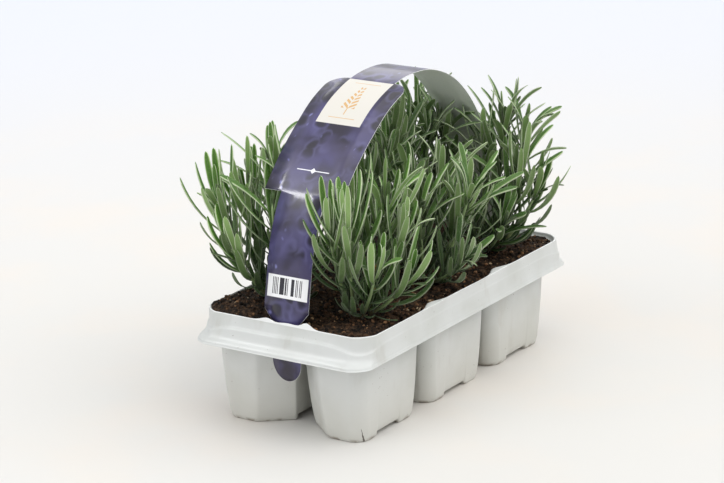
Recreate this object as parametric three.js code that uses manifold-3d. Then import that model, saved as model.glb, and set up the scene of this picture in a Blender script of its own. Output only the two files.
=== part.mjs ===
// A carry tray of six young lavender plants: a thin white tray with six cells, a plug of soil in
// each cell, leafy shoots standing in the soil, and a printed card strip bent over as the handle.
// Millimetres, +Z up. X runs along the tray and Y across it. The ground is at z = 0, and the
// whole object's box is centred on the origin.

import * as THREE from "three";
import { mergeVertices } from "three/addons/utils/BufferGeometryUtils.js";
import Module from "manifold-3d";

const wasm = await Module();
wasm.setup();

// ---- Driving dimensions ----

const tray = {
  height: 79, // top of the lip
  flangeHeight: 58.5, // underside of the flange
  flangeHalfLength: 140,
  flangeHalfWidth: 70,
  flangeEdge: 2, // upright edge of the flange
  lipHalfLength: 130.2,
  lipHalfWidth: 68.2,
  cornerCut: 12.4, // diagonal cut of the four outer corners, measured along each side
  skirtCurve: 1.6, // above 1, the skirt falls steeply from the lip and flattens at the flange
  wall: 1.2,
  deckHeight: 74.4, // top of the web that joins the cells
};

const cell = {
  pitchX: 85.9,
  rowX: -0.8, // the rows of cells stand this far towards the front end
  rowY: 32.5, // from the tray's middle line to the middle of a cell
  bottomHalfLength: 34.5,
  bottomHalfWidth: 23.5,
  flare: 0.082, // growth of each side per millimetre of height
  outerFlare: 0.055, // the same on the tray's long sides
  cornerRadius: 9,
  endCut: { alongX: 17.2, alongY: 21.8 }, // of an end cell's corner beside the handle's tongue
  channel: { middle: -2.2, halfWidth: 14.3, height: 3.2, rounding: 2.4 }, // between the two feet
  drainRadius: 4,
};

const slot = { x: 126, halfWidth: 12.5, thickness: 2.5 }; // in the deck, for the handle's tongues

const soil = {
  rowY: 34, // from the tray's middle line to the middle of a plug's top, where the plant stands
  level: 77, // surface where it is even
  ripple: { height: 0.5, alongX: 0.21, alongY: 0.17 }, // its waves in radians per millimetre
  gap: 0.3, // clearance to the tray, to the next plug and to the stems
  moundHeight: 5, // heap at one end corner
  moundX: -112,
  moundY: 46,
  moundSpread: 20,
};

const strip = {
  thickness: 0.8,
  halfWidth: 18,
  panelHalfWidth: 31.5,
  panelStartX: -98.2,
  panelEndX: -4,
  tongueHalfWidth: 11.5,
  tongueEnd: 37, // height of the tongue's rounded end
  notchHeight: 81, // the strip widens from the tongue between these two heights
  shoulderHeight: 90,
};

const stemRadius = { foot: 1.5, top: 1.0 };
const stemSides = 5;
const stemCollar = 1.5; // the stem stands upright to this height above the soil, then leans
const stemDepth = 9; // from the collar's top down to the stem's end in the soil
const crownRadius = 6; // ring round a plant's middle where its stems stand
const leafSize = { width: 6.6, thickness: 1.6 };

// How leaves stand on a stem. Angles are in degrees from the stem's direction.
const growth = {
  stemPerPair: 16, // length of stem for each pair of leaves
  fewestPairs: 3,
  mostPairs: 5,
  lowestPair: 0.12, // the lowest and highest pairs' places as shares of the stem
  highestPair: 0.98,
  crowding: 0.8, // below 1, pairs stand closer together towards the top
  turnVariation: 40,
  topSpread: 18,
  lowSpread: 76,
  spreadFall: 1.3, // above 1, the spread shrinks quickly above the lowest pair
  spreadVariation: 14,
  shortLeaf: 24,
  longLeaf: 50,
  lowestPhase: 0.14, // where the lowest and highest leaves are on the half wave of lengths
  highestPhase: 0.86,
  fullStem: 75, // shorter stems have shorter leaves
  lengthVariation: 0.3,
  lowUpturn: 0.7, // how strongly a leaf's outer half bends upwards
  topUpturn: 0.15,
  outturn: 0.5, // how strongly it may bend outwards, or for some leaves inwards
  inwardShare: 0.3,
};

const leafReach = { x: 138, y: 92 }; // how far from the tray's middle a leaf's tip may be
const spare = 1; // how far a cutting shape reaches past what it cuts

// Each shoot: compass direction of its lean, lean from upright, and length of its stem above the
// soil, in degrees and millimetres. A plant's shoots are listed in turn round the plant.
const shoots = {
  front_1: [
    [32, 17, 66],
    [178, 20, 60],
    [203, 16, 66],
    [241, 32, 36],
    [279, 48, 38],
    [311, 26, 52],
    [349, 22, 70],
  ],
  back_1: [
    [41, 12, 87],
    [84, 18, 66],
    [123, 26, 68],
    [155, 36, 42],
    [205, 9, 74],
    [268, 40, 30],
    [338, 8, 73],
  ],
  front_2: [
    [83, 8, 62],
    [160, 34, 34],
    [204, 12, 54],
    [253, 56, 38],
    [287, 22, 64],
    [322, 24, 48],
    [351, 16, 68],
  ],
  back_2: [
    [30, 14, 84],
    [80, 10, 62],
    [130, 34, 54],
    [192, 16, 44],
    [255, 16, 62],
    [301, 18, 79],
    [345, 26, 88],
  ],
  front_3: [
    [26, 10, 70],
    [193, 41, 33],
    [240, 44, 30],
    [273, 20, 64],
    [293, 34, 48],
    [313, 16, 82],
    [349, 12, 88],
  ],
  back_3: [
    [4, 6, 87],
    [57, 10, 82],
    [149, 16, 84],
    [205, 26, 80],
    [255, 12, 78],
    [300, 14, 78],
    [340, 26, 77],
  ],
};

const sides = { front: -1, back: 1 };
const columns = [1, 2, 3];
const up = new THREE.Vector3(0, 0, 1);

// ---- Materials ----

const finish = (color, roughness) =>
  new THREE.MeshStandardMaterial({ color, roughness, metalness: 0 });
const trayPlastic = finish(0xd8dad7, 0.45);
const moistSoil = finish(0x35261d, 0.95);
const printedCard = finish(0x575188, 0.35);
const lavenderLeaf = finish(0x748f6c, 0.75);

// ---- Helpers ----

// A closed geometry as a solid that can be joined and cut.
function solid(geometry) {
  const bare = new THREE.BufferGeometry();
  bare.setAttribute("position", geometry.getAttribute("position"));
  bare.setIndex(geometry.index);
  const merged = mergeVertices(bare, 1e-4);
  const vertProperties = new Float32Array(merged.attributes.position.array);
  const triVerts = new Uint32Array(merged.index.array);
  const mesh = new wasm.Mesh({ numProp: 3, vertProperties, triVerts });
  return new wasm.Manifold(mesh);
}

function geometryOf(made) {
  const mesh = made.getMesh();
  const geometry = new THREE.BufferGeometry();
  geometry.setAttribute("position", new THREE.BufferAttribute(mesh.vertProperties, 3));
  geometry.setIndex(new THREE.BufferAttribute(mesh.triVerts, 1));
  return geometry;
}

// Moves every vertex of a geometry with a function that changes the vector it is given.
function reshape(geometry, move) {
  const places = geometry.getAttribute("position");
  const point = new THREE.Vector3();
  for (let i = 0; i < places.count; i++) {
    point.fromBufferAttribute(places, i);
    move(point);
    places.setXYZ(i, point.x, point.y, point.z);
  }
  return geometry;
}

// Pushes the sides of an upright block outwards, by an amount that depends on the place.
function flare(geometry, pushed) {
  return reshape(geometry, (point) => {
    const [alongX, alongY] = pushed(point);
    point.x += Math.sign(point.x) * alongX;
    point.y += Math.sign(point.y) * alongY;
  });
}

// A rectangle's outline with its four corners rounded or cut; a cut is an arc of one straight step.
function outline(halfX, halfY, radius, arcSteps, cut = null) {
  const points = [];
  const corners = [[1, -1], [1, 1], [-1, 1], [-1, -1]];
  corners.forEach(([signX, signY], quarter) => {
    const isCut = cut && cut.signX === signX && cut.signY === signY;
    const reachX = isCut ? cut.alongX : radius;
    const reachY = isCut ? cut.alongY : radius;
    const steps = isCut ? 1 : arcSteps;
    for (let i = 0; i <= steps; i++) {
      const angle = (quarter - 1 + i / steps) * (Math.PI / 2);
      const x = signX * (halfX - reachX) + reachX * Math.cos(angle);
      const y = signY * (halfY - reachY) + reachY * Math.sin(angle);
      points.push(new THREE.Vector2(x, y));
    }
  });
  return new THREE.Shape(points);
}

function extruded(shape, low, high, steps = 1) {
  const options = { depth: high - low, steps, bevelEnabled: false };
  return new THREE.ExtrudeGeometry(shape, options).translate(0, 0, low);
}

function block(lowX, lowY, lowZ, highX, highY, highZ) {
  const box = new THREE.BoxGeometry(highX - lowX, highY - lowY, highZ - lowZ);
  return box.translate((lowX + highX) / 2, (lowY + highY) / 2, (lowZ + highZ) / 2);
}

// A repeatable stand-in for chance, from 0 to 1, that differs for each number it is given.
function chance(number) {
  const value = Math.sin(number * 12.9898) * 43758.5453;
  return value - Math.floor(value);
}

const radians = (degrees) => (degrees * Math.PI) / 180;

function cellCentre(row, column) {
  const x = (column - 2) * cell.pitchX + cell.rowX;
  return new THREE.Vector3(x, sides[row] * cell.rowY, 0);
}

function plantCentre(row, column) {
  return new THREE.Vector3((column - 2) * cell.pitchX, sides[row] * soil.rowY, 0);
}

// ---- Tray ----

// The skirt hangs from the lip and flares to the flange, steeply at first and then flatter.
function skirtBlock(inset, low, high) {
  const steps = 4;
  const flareRun = tray.height - tray.flangeHeight - tray.flangeEdge;
  const pushed = ({ z }) => {
    const share = THREE.MathUtils.clamp((tray.height - z) / flareRun, 0, 1) ** tray.skirtCurve;
    const alongX = (tray.flangeHalfLength - tray.lipHalfLength) * share;
    const alongY = (tray.flangeHalfWidth - tray.lipHalfWidth) * share;
    return [alongX, alongY];
  };
  const shape = outline(
    tray.lipHalfLength - inset,
    tray.lipHalfWidth - inset,
    tray.cornerCut,
    2,
  );
  return solid(flare(extruded(shape, low, high, steps), pushed));
}

// A cell's outer shape for an inset of 0, and its hollow for an inset of the wall. End cells
// have a diagonal cut on the corner that faces the middle of the tray's end.
function cellBlock(row, column, inset, low, high) {
  const atEnd = column !== 2;
  const cut = atEnd && {
    signX: Math.sign(column - 2),
    signY: -sides[row],
    ...cell.endCut,
  };
  const shape = outline(
    cell.bottomHalfLength - inset,
    cell.bottomHalfWidth - inset,
    cell.cornerRadius - inset,
    3,
    cut,
  );
  const pushed = ({ y, z }) => {
    const isOuter = Math.sign(y) === sides[row];
    return [cell.flare * z, (isOuter ? cell.outerFlare : cell.flare) * z];
  };
  const centre = cellCentre(row, column);
  return solid(flare(extruded(shape, low, high), pushed).translate(centre.x, centre.y, 0));
}

// The raised channel that runs across under a cell, enlarged by a margin.
function channelBlock(row, column, margin) {
  const { middle, rounding } = cell.channel;
  const half = cell.channel.halfWidth + margin;
  const high = cell.channel.height + margin;
  const shape = new THREE.Shape();
  shape.moveTo(-half, -spare);
  shape.lineTo(half, -spare);
  shape.absarc(half - rounding, high - rounding, rounding, 0, Math.PI / 2);
  shape.absarc(rounding - half, high - rounding, rounding, Math.PI / 2, Math.PI);
  const reach = 2 * cell.bottomHalfWidth;
  const options = { depth: 2 * reach, bevelEnabled: false, curveSegments: 2 };
  const channel = new THREE.ExtrudeGeometry(shape, options);
  channel.rotateX(Math.PI / 2);
  const centre = cellCentre(row, column);
  return solid(channel.translate(centre.x + middle, centre.y + reach, 0));
}

function eachCell(make) {
  return ["front", "back"].flatMap((row) => columns.map((column) => make(row, column)));
}

function openingBlock(inset, low, high) {
  const halfLength = tray.lipHalfLength - tray.wall - inset;
  const halfWidth = tray.lipHalfWidth - tray.wall - inset;
  return solid(extruded(outline(halfLength, halfWidth, tray.cornerCut, 2), low, high));
}

function trayGeometry() {
  const above = tray.height + spare;
  const below = tray.flangeHeight - spare;
  const drainLength = 30;
  const hollow = skirtBlock(tray.wall, below, tray.deckHeight - tray.wall);
  let made = skirtBlock(0, tray.flangeHeight, tray.height).subtract(hollow);
  for (const shell of eachCell((row, column) => cellBlock(row, column, 0, 0, tray.deckHeight))) {
    made = made.add(shell);
  }
  made = made.subtract(openingBlock(0, tray.deckHeight, above));
  eachCell((row, column) => {
    const ridge = channelBlock(row, column, tray.wall);
    const room = cellBlock(row, column, tray.wall, tray.wall, above).subtract(ridge);
    const drain = new THREE.CylinderGeometry(cell.drainRadius, cell.drainRadius, drainLength, 10);
    const centre = cellCentre(row, column);
    drain.rotateX(Math.PI / 2).translate(centre.x, centre.y, 0);
    made = made.subtract(room);
    made = made.subtract(channelBlock(row, column, 0));
    made = made.subtract(solid(drain));
  });
  for (const end of [-1, 1]) {
    const lowX = end * slot.x - slot.thickness / 2;
    const highX = end * slot.x + slot.thickness / 2;
    const cut = block(lowX, -slot.halfWidth, below, highX, slot.halfWidth, above);
    made = made.subtract(solid(cut));
  }
  return geometryOf(made);
}

// ---- Soil ----

const overSoil = tray.height + 2 * soil.moundHeight; // higher than any soil

function soilHeight(x, y) {
  const away = Math.hypot(x - soil.moundX, y - soil.moundY) / soil.moundSpread;
  const { height, alongX, alongY } = soil.ripple;
  const ripple = height * Math.sin(alongX * x + 1) * Math.cos(alongY * y);
  return soil.level + soil.moundHeight * Math.exp(-away * away) + ripple;
}

// The uneven layer above the deck that belongs to one cell.
function soilTop(row, column) {
  const centre = plantCentre(row, column);
  const halfX = cell.pitchX / 2 - soil.gap / 2;
  const halfY = soil.rowY - soil.gap / 2;
  const low = tray.deckHeight + soil.gap;
  const high = low + spare;
  const layer = new THREE.BoxGeometry(2 * halfX, 2 * halfY, high - low, 4, 3, 1);
  layer.translate(centre.x, centre.y, (low + high) / 2);
  reshape(layer, (point) => {
    if (point.z > (low + high) / 2) point.z = soilHeight(point.x, point.y);
  });
  return solid(layer).intersect(openingBlock(soil.gap, low - spare, overSoil));
}

function soilGeometry(row, column, stems) {
  const inset = tray.wall + soil.gap;
  const overlap = tray.deckHeight + soil.gap + spare;
  let made = cellBlock(row, column, inset, inset, overlap);
  made = made.subtract(channelBlock(row, column, inset));
  made = made.add(soilTop(row, column));
  for (const end of [-1, 1]) {
    const clear = soil.gap + slot.thickness / 2;
    const lowX = end * slot.x - clear;
    const highX = end * slot.x + clear;
    const room = block(lowX, -slot.halfWidth, tray.wall, highX, slot.halfWidth, overSoil);
    made = made.subtract(solid(room));
  }
  for (const stem of stems) {
    made = made.subtract(socketSolid(stem));
  }
  return geometryOf(made);
}

// ---- Handle strip ----

// The strip's middle line seen from the side, from the front tongue over the top to the rear one.
const stripLine = new THREE.CatmullRomCurve3(
  [
    [-126, 37],
    [-126, 79],
    [-119, 111],
    [-113, 134],
    [-106, 149.5],
    [-99, 161],
    [-97, 163.3],
    [-81, 180],
    [-57, 199],
    [-38, 211],
    [-12, 220],
    [14, 222.5],
    [38, 219.5],
    [66.5, 207],
    [92, 183],
    [111, 150],
    [122.5, 115],
    [126, 79],
    [126, 37],
  ].map(([x, z]) => new THREE.Vector3(x, 0, z)),
  false,
  "centripetal",
);

// Half the strip's width where its middle line is at the point given.
function stripHalfWidth(point) {
  const { x, z } = point;
  const aboveEnd = z - strip.tongueEnd;
  if (aboveEnd < strip.tongueHalfWidth) {
    const drop = Math.min(1, 1 - aboveEnd / strip.tongueHalfWidth);
    const narrowest = 1;
    return Math.max(narrowest, strip.tongueHalfWidth * Math.sqrt(1 - drop * drop));
  }
  if (z < strip.shoulderHeight) {
    const share = (z - strip.notchHeight) / (strip.shoulderHeight - strip.notchHeight);
    const rise = THREE.MathUtils.clamp(share, 0, 1);
    return THREE.MathUtils.lerp(strip.tongueHalfWidth, strip.halfWidth, rise);
  }
  const shoulder = strip.panelHalfWidth - strip.halfWidth;
  if (x < strip.panelStartX || x > strip.panelEndX) return strip.halfWidth;
  const toEnd = Math.min(1, (strip.panelEndX - x) / shoulder);
  return strip.halfWidth + shoulder * Math.sqrt(1 - (1 - toEnd) ** 2);
}

function stripGeometry() {
  const stations = 72;
  const flat = new THREE.BoxGeometry(1, 1, 1, stations, 1, 1);
  const acrossY = new THREE.Vector3(0, 1, 0);
  return reshape(flat, (point) => {
    const share = THREE.MathUtils.clamp(point.x + 0.5, 0, 1);
    const middle = stripLine.getPointAt(share);
    const outward = new THREE.Vector3().crossVectors(stripLine.getTangentAt(share), acrossY);
    outward.multiplyScalar(point.z * strip.thickness);
    point.set(middle.x, 2 * point.y * stripHalfWidth(middle), middle.z).add(outward);
  });
}

// ---- Shoots ----

const level = (degrees) =>
  new THREE.Vector3(Math.cos(radians(degrees)), Math.sin(radians(degrees)), 0);

// The feet of a plant's stems stand evenly round a ring, each as near as that allows to the side
// that its stem leans to.
function footDirections(plantShoots) {
  const step = 360 / plantShoots.length;
  const first = plantShoots.reduce((sum, [toward], i) => sum + toward - i * step, 0);
  return plantShoots.map((_, i) => level(first / plantShoots.length + i * step));
}

// A stem's line and frame: it leans more at its foot than at its top.
function stemOf(row, column, footDirection, [toward, lean, length], number) {
  const leanDirection = level(toward);
  const side = level(toward + 90);
  const foot = plantCentre(row, column).addScaledVector(footDirection, crownRadius);
  foot.z = soilHeight(foot.x, foot.y) + stemCollar;
  const reach = (leanFactor, share) => {
    const angle = radians(lean) * leanFactor;
    const place = foot.clone().addScaledVector(leanDirection, length * share * Math.sin(angle));
    return place.addScaledVector(up, length * share * Math.cos(angle));
  };
  const line = new THREE.QuadraticBezierCurve3(foot, reach(1.3, 0.5), reach(1, 1));
  const wanted = Math.round(length / growth.stemPerPair) + 1;
  const pairs = THREE.MathUtils.clamp(wanted, growth.fewestPairs, growth.mostPairs);
  return { line, side, length, pairs, number };
}

// A stem is a rod along its line, with an upright foot below the soil's surface.
function stemSolid(stem, margin = 0) {
  const steps = 3;
  const rod = new THREE.CylinderGeometry(1, 1, 1, stemSides, steps);
  reshape(rod, (point) => {
    const station = Math.round((point.y + 0.5) * steps);
    const along = Math.max(0, (station - 1) / (steps - 1));
    const radius = THREE.MathUtils.lerp(stemRadius.foot, stemRadius.top, along) + margin;
    placeAround(point, stem, along, radius);
    if (station === 0) point.z -= stemDepth;
  });
  return solid(rod);
}

// Puts a point of a round rod's side at its place round a stem's line.
function placeAround(point, stem, along, radius) {
  const outward = new THREE.Vector3().crossVectors(stem.side, stem.line.getTangent(along));
  const { x, z } = point;
  point.copy(stem.line.getPoint(along));
  point.addScaledVector(stem.side, x * radius).addScaledVector(outward, z * radius);
}

// The upright hole in the soil that a stem's foot stands in.
function socketSolid(stem) {
  const radius = stemRadius.foot + 2 * soil.gap;
  const depth = stemDepth + stemRadius.foot + soil.gap;
  const aboveSurface = 4;
  const hole = new THREE.CylinderGeometry(radius, radius, depth + aboveSurface, stemSides);
  const { x, y, z } = stem.line.v0;
  hole.rotateX(Math.PI / 2).translate(x, y, z + (aboveSurface - depth) / 2);
  return solid(hole);
}

// The leaves of a stem: opposite pairs, each pair a quarter turn from the one below it. Low
// leaves spread wide and turn up; high leaves stand close to the stem.
function leavesOf(stem) {
  const { lerp } = THREE.MathUtils;
  const vary = (seed, amount) => amount * (chance(seed) - 0.5);
  const stemFactor = (1 + Math.min(1, stem.length / growth.fullStem)) / 2;
  const firstTurn = 360 * chance(stem.number + 0.5);
  const leaves = [];
  for (let pair = 0; pair < stem.pairs; pair++) {
    const rise = pair / (stem.pairs - 1);
    const along = lerp(growth.lowestPair, growth.highestPair, rise ** growth.crowding);
    const foot = stem.line.getPoint(along);
    const tangent = stem.line.getTangent(along);
    const outward = new THREE.Vector3().crossVectors(stem.side, tangent);
    const wave = Math.sin(Math.PI * lerp(growth.lowestPhase, growth.highestPhase, rise));
    const usualLength = lerp(growth.shortLeaf, growth.longLeaf, wave) * stemFactor;
    const usualSpread = lerp(growth.topSpread, growth.lowSpread, (1 - rise) ** growth.spreadFall);
    for (const half of [0, 1]) {
      const seed = stem.number * 50 + pair * 2 + half;
      const turn = firstTurn + 90 * pair + 180 * half + vary(seed, growth.turnVariation);
      const spread = usualSpread + vary(seed + 0.25, growth.spreadVariation);
      const length = usualLength * (1 + vary(seed + 0.75, growth.lengthVariation));
      leaves.push({ foot, tangent, outward, turn, spread, length, rise, seed });
    }
  }
  return leaves;
}

// A leaf's line: it leaves the stem at its spread angle and bends upwards, most on low leaves.
function leafLine(stem, leaf, turn) {
  const away = stem.side.clone().multiplyScalar(Math.cos(radians(turn)));
  away.addScaledVector(leaf.outward, Math.sin(radians(turn)));
  const start = leaf.tangent.clone().multiplyScalar(Math.cos(radians(leaf.spread)));
  start.addScaledVector(away, Math.sin(radians(leaf.spread)));
  const upturn = THREE.MathUtils.lerp(growth.lowUpturn, growth.topUpturn, leaf.rise);
  const outturn = growth.outturn * (chance(leaf.seed + 0.6) - growth.inwardShare);
  const end = start.clone().addScaledVector(up, upturn).addScaledVector(away, outturn);
  end.normalize();
  const middle = leaf.foot.clone().addScaledVector(start, leaf.length / 2);
  const tip = middle.clone().addScaledVector(end, leaf.length / 2);
  const across = new THREE.Vector3().crossVectors(start, leaf.tangent).normalize();
  return { line: new THREE.QuadraticBezierCurve3(leaf.foot, middle, tip), across };
}

// A leaf is a bent spindle with a three-sided section: two edges and a keel under its midrib.
function leafSolid({ line, across }, margin = 0) {
  const tipStart = 0.99;
  const spindle = new THREE.SphereGeometry(1, 3, 3);
  reshape(spindle, (point) => {
    const share = (1 - point.y) / 2;
    const tangent = line.getTangent(share);
    const face = new THREE.Vector3().crossVectors(across, tangent).normalize();
    const { x, z } = point;
    point.copy(line.getPoint(share));
    point.addScaledVector(face, x * (leafSize.thickness / 2 + margin));
    point.addScaledVector(across, z * (leafSize.width / 2 + margin));
    if (share > tipStart) point.addScaledVector(tangent, margin);
  });
  return solid(spindle);
}

// Solids that a new leaf has to stay clear of, each with its box for a quick first test.
const placed = [];

function remember(made, owner) {
  const { min, max } = made.boundingBox();
  placed.push({ made, owner, box: new THREE.Box3().setFromArray([...min, ...max]) });
}

function isClear(made, owner) {
  const { min, max } = made.boundingBox();
  const box = new THREE.Box3().setFromArray([...min, ...max]);
  return placed.every(
    (other) =>
      other.owner === owner ||
      !other.box.intersectsBox(box) ||
      other.made.intersect(made).isEmpty(),
  );
}

const isOverTray = ({ x, y }) => Math.abs(x) < leafReach.x && Math.abs(y) < leafReach.y;

// A leaf that would run into another shoot, the soil or the handle, or reach too far out, is
// turned about its stem, and it is left out if no turn helps.
function shootGeometry(stem, name) {
  const turns = [0, 25, -25, 50, -50, 80, -80];
  const pieces = [stemSolid(stem)];
  for (const leaf of leavesOf(stem)) {
    for (const turn of turns) {
      const shape = leafLine(stem, leaf, leaf.turn + turn);
      if (isOverTray(shape.line.v2) && isClear(leafSolid(shape, soil.gap), name)) {
        const made = leafSolid(shape);
        pieces.push(made);
        remember(made, name);
        break;
      }
    }
  }
  return geometryOf(wasm.Manifold.union(pieces));
}

// ---- The object ----

const plantTray = new THREE.Group();

function addMesh(name, geometry, material) {
  const mesh = new THREE.Mesh(geometry, material);
  mesh.name = name;
  plantTray.add(mesh);
  return mesh;
}

const trayMesh = addMesh("tray", trayGeometry(), trayPlastic);
const handleMesh = addMesh("carry_handle", stripGeometry(), printedCard);
remember(solid(trayMesh.geometry), "tray");
remember(solid(handleMesh.geometry), "carry_handle");

const plants = Object.entries(shoots).map(([plant, rows], order) => {
  const [row, columnText] = plant.split("_");
  const column = Number(columnText);
  const feet = footDirections(rows);
  const stems = rows.map((shoot, i) =>
    stemOf(row, column, feet[i], shoot, order * rows.length + i + 1),
  );
  return { plant, row, column, stems };
});

for (const { plant, row, column, stems } of plants) {
  const soilMesh = addMesh(`soil_${plant}`, soilGeometry(row, column, stems), moistSoil);
  remember(solid(soilMesh.geometry), `soil_${plant}`);
  stems.forEach((stem, i) => remember(stemSolid(stem, soil.gap), `shoot_${plant}_${i + 1}`));
}

for (const { plant, stems } of plants) {
  stems.forEach((stem, i) => {
    const name = `shoot_${plant}_${i + 1}`;
    addMesh(name, shootGeometry(stem, name), lavenderLeaf);
  });
}

const footprint = new THREE.Box3().setFromObject(plantTray).getCenter(new THREE.Vector3());
plantTray.position.set(-footprint.x, -footprint.y, 0);

export default plantTray;
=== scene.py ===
import math
import random

import bmesh
import bpy
from mathutils import Matrix, Vector, noise


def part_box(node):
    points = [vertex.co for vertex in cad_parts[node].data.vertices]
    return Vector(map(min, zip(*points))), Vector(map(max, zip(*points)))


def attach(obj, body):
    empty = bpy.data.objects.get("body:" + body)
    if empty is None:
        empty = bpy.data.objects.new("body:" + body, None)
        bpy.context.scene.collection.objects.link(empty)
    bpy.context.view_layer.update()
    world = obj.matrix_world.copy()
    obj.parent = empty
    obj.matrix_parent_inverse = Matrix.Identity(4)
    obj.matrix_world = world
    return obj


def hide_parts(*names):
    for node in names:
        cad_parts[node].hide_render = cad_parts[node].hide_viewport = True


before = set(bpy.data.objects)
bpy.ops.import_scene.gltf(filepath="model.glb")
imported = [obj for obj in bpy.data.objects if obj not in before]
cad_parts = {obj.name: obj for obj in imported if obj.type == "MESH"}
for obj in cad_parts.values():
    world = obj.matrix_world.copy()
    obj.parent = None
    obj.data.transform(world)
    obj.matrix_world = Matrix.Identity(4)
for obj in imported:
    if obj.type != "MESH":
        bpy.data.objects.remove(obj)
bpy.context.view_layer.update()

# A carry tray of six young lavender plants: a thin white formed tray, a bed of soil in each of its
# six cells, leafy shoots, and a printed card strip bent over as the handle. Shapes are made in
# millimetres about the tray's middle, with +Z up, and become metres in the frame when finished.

MM = 0.001
UP = Vector((0, 0, 1))
TAU = 2 * math.pi

# ---- Driving dimensions, in millimetres ----

LIP_HEIGHT = 79
LIP_HALF_LENGTH = 130.2
LIP_HALF_WIDTH = 68.2
LIP_THICKNESS = 1.3
FLANGE_HALF_LENGTH = 140
FLANGE_HALF_WIDTH = 70
FLANGE_BOTTOM = 58.5
FLANGE_TOP = 60.5
TRAY_CORNER = 12.4
DECK_HEIGHT = 74.4
SHEET = 0.6  # thickness of the formed sheet

PITCH_X = 85.9
CELL_MIDDLE_X = -0.8
CELL_ROW_Y = 32.5
PLANT_ROW_Y = 34  # the plants stand a little outside their cells' middles
CELL_HALF_LENGTH = 34.5
CELL_HALF_WIDTH = 23.5
CELL_FLARE = 0.082  # growth of each side per millimetre of height
CELL_OUTER_FLARE = 0.055  # the same on the tray's long sides
CELL_CORNER = 9
CELL_END_CUT = (17.2, 21.8)  # cut of an end cell's corner beside the handle's tongue
CHANNEL_MIDDLE = -2.2  # channel under each cell, which leaves a foot at both ends
CHANNEL_HALF_WIDTH = 14.3
CHANNEL_HEIGHT = 3.2
CHANNEL_ROUNDING = 2.4
DRAIN_RADIUS = 4
SLOT_X = 126
SLOT_HALF_WIDTH = 12.5
SLOT_HALF_THICKNESS = 1.25

SOIL_LEVEL = 77
SOIL_GAP = 0.3  # between the soil and the tray
SOIL_HALF_WIDTH = 34  # of one cell's bed over the deck
MOUND = {"height": 5, "x": -112, "y": 46, "spread": 20}
CRUMBS = 760  # tried on each bed

CARD_THICKNESS = 0.4
BAND_HALF_WIDTH = 18
PANEL_HALF_WIDTH = 31.5
TONGUE_HALF_WIDTH = 11.5
TONGUE_ROUNDING = 14
CARD_MARGIN = 0.5  # unprinted white edge

STEM_FOOT_RADIUS = 1.4
STEM_TOP_RADIUS = 0.9
STEM_COLLAR = 1.5
CROWN_RADIUS = 6  # ring round a plant's middle where its stems stand
LEAF_REACH_X = (-130, 120)  # how far from the tray's middle a leaf may reach
LEAF_REACH_Y = 92
LEAF_REACH_Z = 200  # height above the ground

# Each shoot: compass direction of its lean, lean from upright, and length of its stem above the
# soil, in degrees and millimetres, in turn round the plant.
SHOOTS = {
    "front_1": [(32, 17, 66), (178, 20, 60), (203, 16, 66), (241, 32, 36), (279, 48, 38),
                (311, 26, 52), (349, 22, 70)],
    "back_1": [(41, 12, 87), (84, 18, 66), (123, 26, 68), (155, 36, 42), (205, 9, 74),
               (268, 40, 30), (338, 8, 73)],
    "front_2": [(83, 8, 62), (160, 34, 34), (204, 12, 54), (253, 56, 38), (287, 22, 64),
                (322, 24, 48), (351, 16, 68)],
    "back_2": [(30, 14, 84), (80, 10, 62), (130, 34, 54), (192, 16, 44), (255, 16, 62),
               (301, 18, 79), (345, 26, 88)],
    "front_3": [(26, 10, 70), (193, 41, 33), (240, 44, 30), (273, 20, 64), (293, 34, 48),
                (313, 16, 82), (349, 12, 88)],
    "back_3": [(4, 6, 87), (57, 10, 82), (149, 16, 84), (205, 26, 80), (255, 12, 78),
               (300, 14, 78), (340, 26, 77)],
}

FRESH_PLANTS = ("front_1", "back_1")
# Painted shade: all the leaves of these plants are darkened by the given share.
PAINTED_SHADE_PLANTS = {"back_2": 0.45, "back_3": 0.4, "front_3": 0.12}  # how dark all their leaves are
UPRIGHT_PLANTS = {"front_1": 0.2, "back_1": 0.3}  # the share of their top leaves that arch over
WITHERED = ("front_1", 5)  # the shoot whose lowest leaf is withered
SIDE = {"front": -1, "back": 1}

# The photograph's camera, fitted to the tray's edges: its place, its axes and its lens.
CAMERA_PLACE = (-1498.277, -987.026, 660.582)
CAMERA_RIGHT = (0.55083492, -0.83418384, -0.02679939)
CAMERA_UP = (0.26240818, 0.14261523, 0.95435991)
CAMERA_LENS = 132.48

tray_low, tray_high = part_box("tray")
tray_middle = (tray_low + tray_high) / 2
TO_FRAME = Matrix.Translation((tray_middle.x, tray_middle.y, 0)) @ Matrix.Scale(MM, 4)


def centre_of(plant, row_y):
    """A place on the ground in a plant's row and column."""
    row, column = plant.split("_")
    return Vector(((int(column) - 2) * PITCH_X, SIDE[row] * row_y, 0))


def lerp(first, second, share):
    return first + (second - first) * share


def clamp(value, low=0.0, high=1.0):
    return max(low, min(high, value))


def hill(value, centre, spread):
    """A smooth hump of height 1 at the centre."""
    return math.exp(-(((value - centre) / spread) ** 2))


# ---- Camera, light and floor ----


def place_camera():
    """The photograph's view: a long lens that looks along the tray's near corner."""
    right, upward = Vector(CAMERA_RIGHT), Vector(CAMERA_UP)
    turn = Matrix((right, upward, right.cross(upward))).transposed().to_4x4()
    camera = bpy.data.cameras.new("camera")
    camera.lens = CAMERA_LENS
    camera.sensor_width = 36
    camera.clip_end = 50
    viewer = bpy.data.objects.new("camera", camera)
    viewer.matrix_world = Matrix.Translation(TO_FRAME @ Vector(CAMERA_PLACE)) @ turn
    bpy.context.scene.collection.objects.link(viewer)
    bpy.context.scene.camera = viewer


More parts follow.
